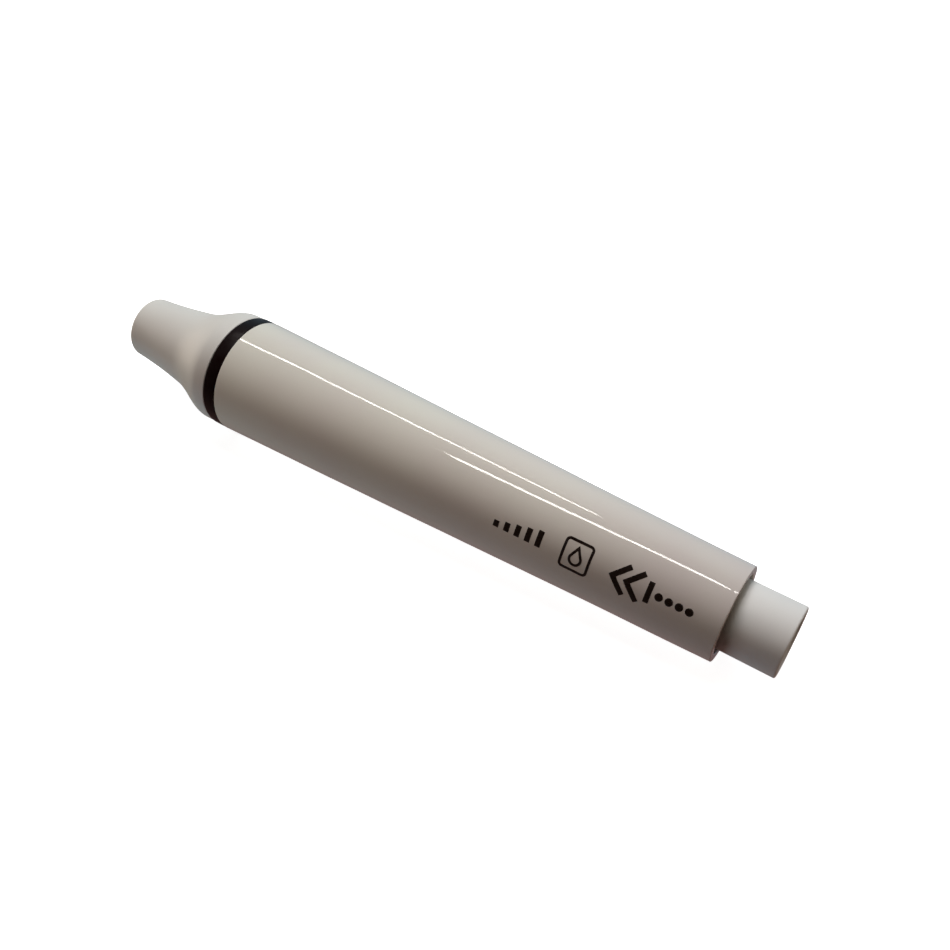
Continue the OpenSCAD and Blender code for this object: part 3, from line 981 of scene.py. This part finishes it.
def lights():
    """Two tubes overhead draw the long streaks, and the panels shade the round sides."""
    height, tube_radiance, tube_white = 0.45, 21, (1.0, 0.97, 0.92)
    tubes = (
        ("front_tube", (0.383, -0.176), (0.118, -0.225), 0.021),
        ("rear_tube", (0.196, 0.0177), (0.033, -0.083), 0.024),
    )
    for name, start, end, width in tubes:
        tube_lamp(name, (*start, height), (*end, height), width, tube_radiance, tube_white)
    soft_panel("key_panel", angle=120, x=0.3, distance=0.7, size=0.3,
               radiance=12.7, colour=(0.968, 0.945, 1.0))
    soft_panel("tail_panel", angle=120, x=-0.7, distance=0.4, size=0.4,
               radiance=3.2, colour=(1.0, 0.75, 0.60))
    soft_panel("nose_panel", angle=-30, x=0.8, distance=0.12, size=0.3,
               radiance=4.2, colour=(1.0, 0.80, 0.52))
    glint_panel("edge_panel", (0.8, 0.03, 0.05), size=0.4,
                radiance=1.3, colour=(1.0, 0.95, 0.88))
    soft_panel("side_panel", angle=0, x=0.25, distance=0.25, size=0.2,
               radiance=1.54, colour=(1.0, 0.67, 0.59))
    soft_panel("low_panel", angle=-50, x=0.22, distance=0.22, size=0.2,
               radiance=1.63, colour=(0.34, 0.80, 1.0))


def world():
    """A dark room, paler below and on the far side, and white where the camera sees it."""
    scene_world = bpy.data.worlds.new("room")
    bpy.context.scene.world = scene_world
    scene_world.use_nodes = True
    nodes, links = scene_world.node_tree.nodes, scene_world.node_tree.links
    nodes.clear()
    place = nodes.new("ShaderNodeTexCoord")
    split = nodes.new("ShaderNodeSeparateXYZ")
    links.new(place.outputs["Generated"], split.inputs["Vector"])

    def glow(axis, dark_at, bright_at, colour):
        """Light that grows along an axis, from none at dark_at to the colour at bright_at."""
        share = nodes.new("ShaderNodeMapRange")
        share.inputs["From Min"].default_value = dark_at
        share.inputs["From Max"].default_value = bright_at
        scaled = nodes.new("ShaderNodeVectorMath")
        scaled.operation = "SCALE"
        scaled.inputs[0].default_value = colour
        links.new(split.outputs[axis], share.inputs["Value"])
        links.new(share.outputs["Result"], scaled.inputs["Scale"])
        return scaled.outputs["Vector"]

    both = nodes.new("ShaderNodeVectorMath")
    links.new(glow("Z", 0, -1, (0.214, 0.118, 0.108)), both.inputs[0])
    links.new(glow("Y", -0.5, -0.8, (0.177, 0.302, 0.370)), both.inputs[1])
    dim = nodes.new("ShaderNodeBackground")
    links.new(both.outputs["Vector"], dim.inputs["Color"])
    bright = nodes.new("ShaderNodeBackground")
    bright.inputs["Color"].default_value = (1, 1, 1, 1)
    path = nodes.new("ShaderNodeLightPath")
    mixed = nodes.new("ShaderNodeMixShader")
    links.new(path.outputs["Is Camera Ray"], mixed.inputs["Fac"])
    links.new(dim.outputs["Background"], mixed.inputs[1])
    links.new(bright.outputs["Background"], mixed.inputs[2])
    output = nodes.new("ShaderNodeOutputWorld")
    links.new(mixed.outputs["Shader"], output.inputs["Surface"])


def floor():
    """A pale floor under the handpiece, tilted so that the tapered handle lies on it.

    It hides no lamp, so the underside gets its light from the panels and the world below.
    """
    size_m, columns, clearance = 6.0, 12, 0.02
    slope = (HANDLE_R - HANDLE_REAR_R) / (HANDLE_FRONT - HANDLE_REAR)
    bm = bmesh.new()
    bmesh.ops.create_grid(bm, x_segments=columns, y_segments=columns, size=size_m / 2 / MM)
    for v in bm.verts:
        v.co.z = -HANDLE_REAR_R - clearance - slope * v.co.x
    obj = mesh_object("floor", bm)
    paint = Paint("pale_floor", Roughness=0.9)
    paint.set(Emission_Color=(1, 1, 1, 1), Emission_Strength=0.9)
    cloud = paint.between(paint.noise(0.01, detail=3), 0, 1)
    paint.colour(paint.mix(cloud, (0.90, 0.90, 0.90), (0.93, 0.93, 0.93)))
    obj.data.materials.append(paint.mat)
    obj.visible_diffuse = False
    obj.visible_glossy = False
    obj.visible_shadow = False


def main():
    """Builds the pieces on the frame, then the studio around them."""
    camera()
    handle_shell()
    nose_cone()
    seal_ring()
    tail_socket()
    front_collar()
    horn()
    contact_pin(1, "contact_pin_hot")
    contact_pin(-1, "contact_pin_ground")
    water_nipple()
    for name, centre_x, draw in MARKS:
        mark(name, centre_x, draw)
    paint_cad_nodes()
    floor()
    lights()
    world()
    bpy.context.scene.view_settings.view_transform = "Standard"


main()
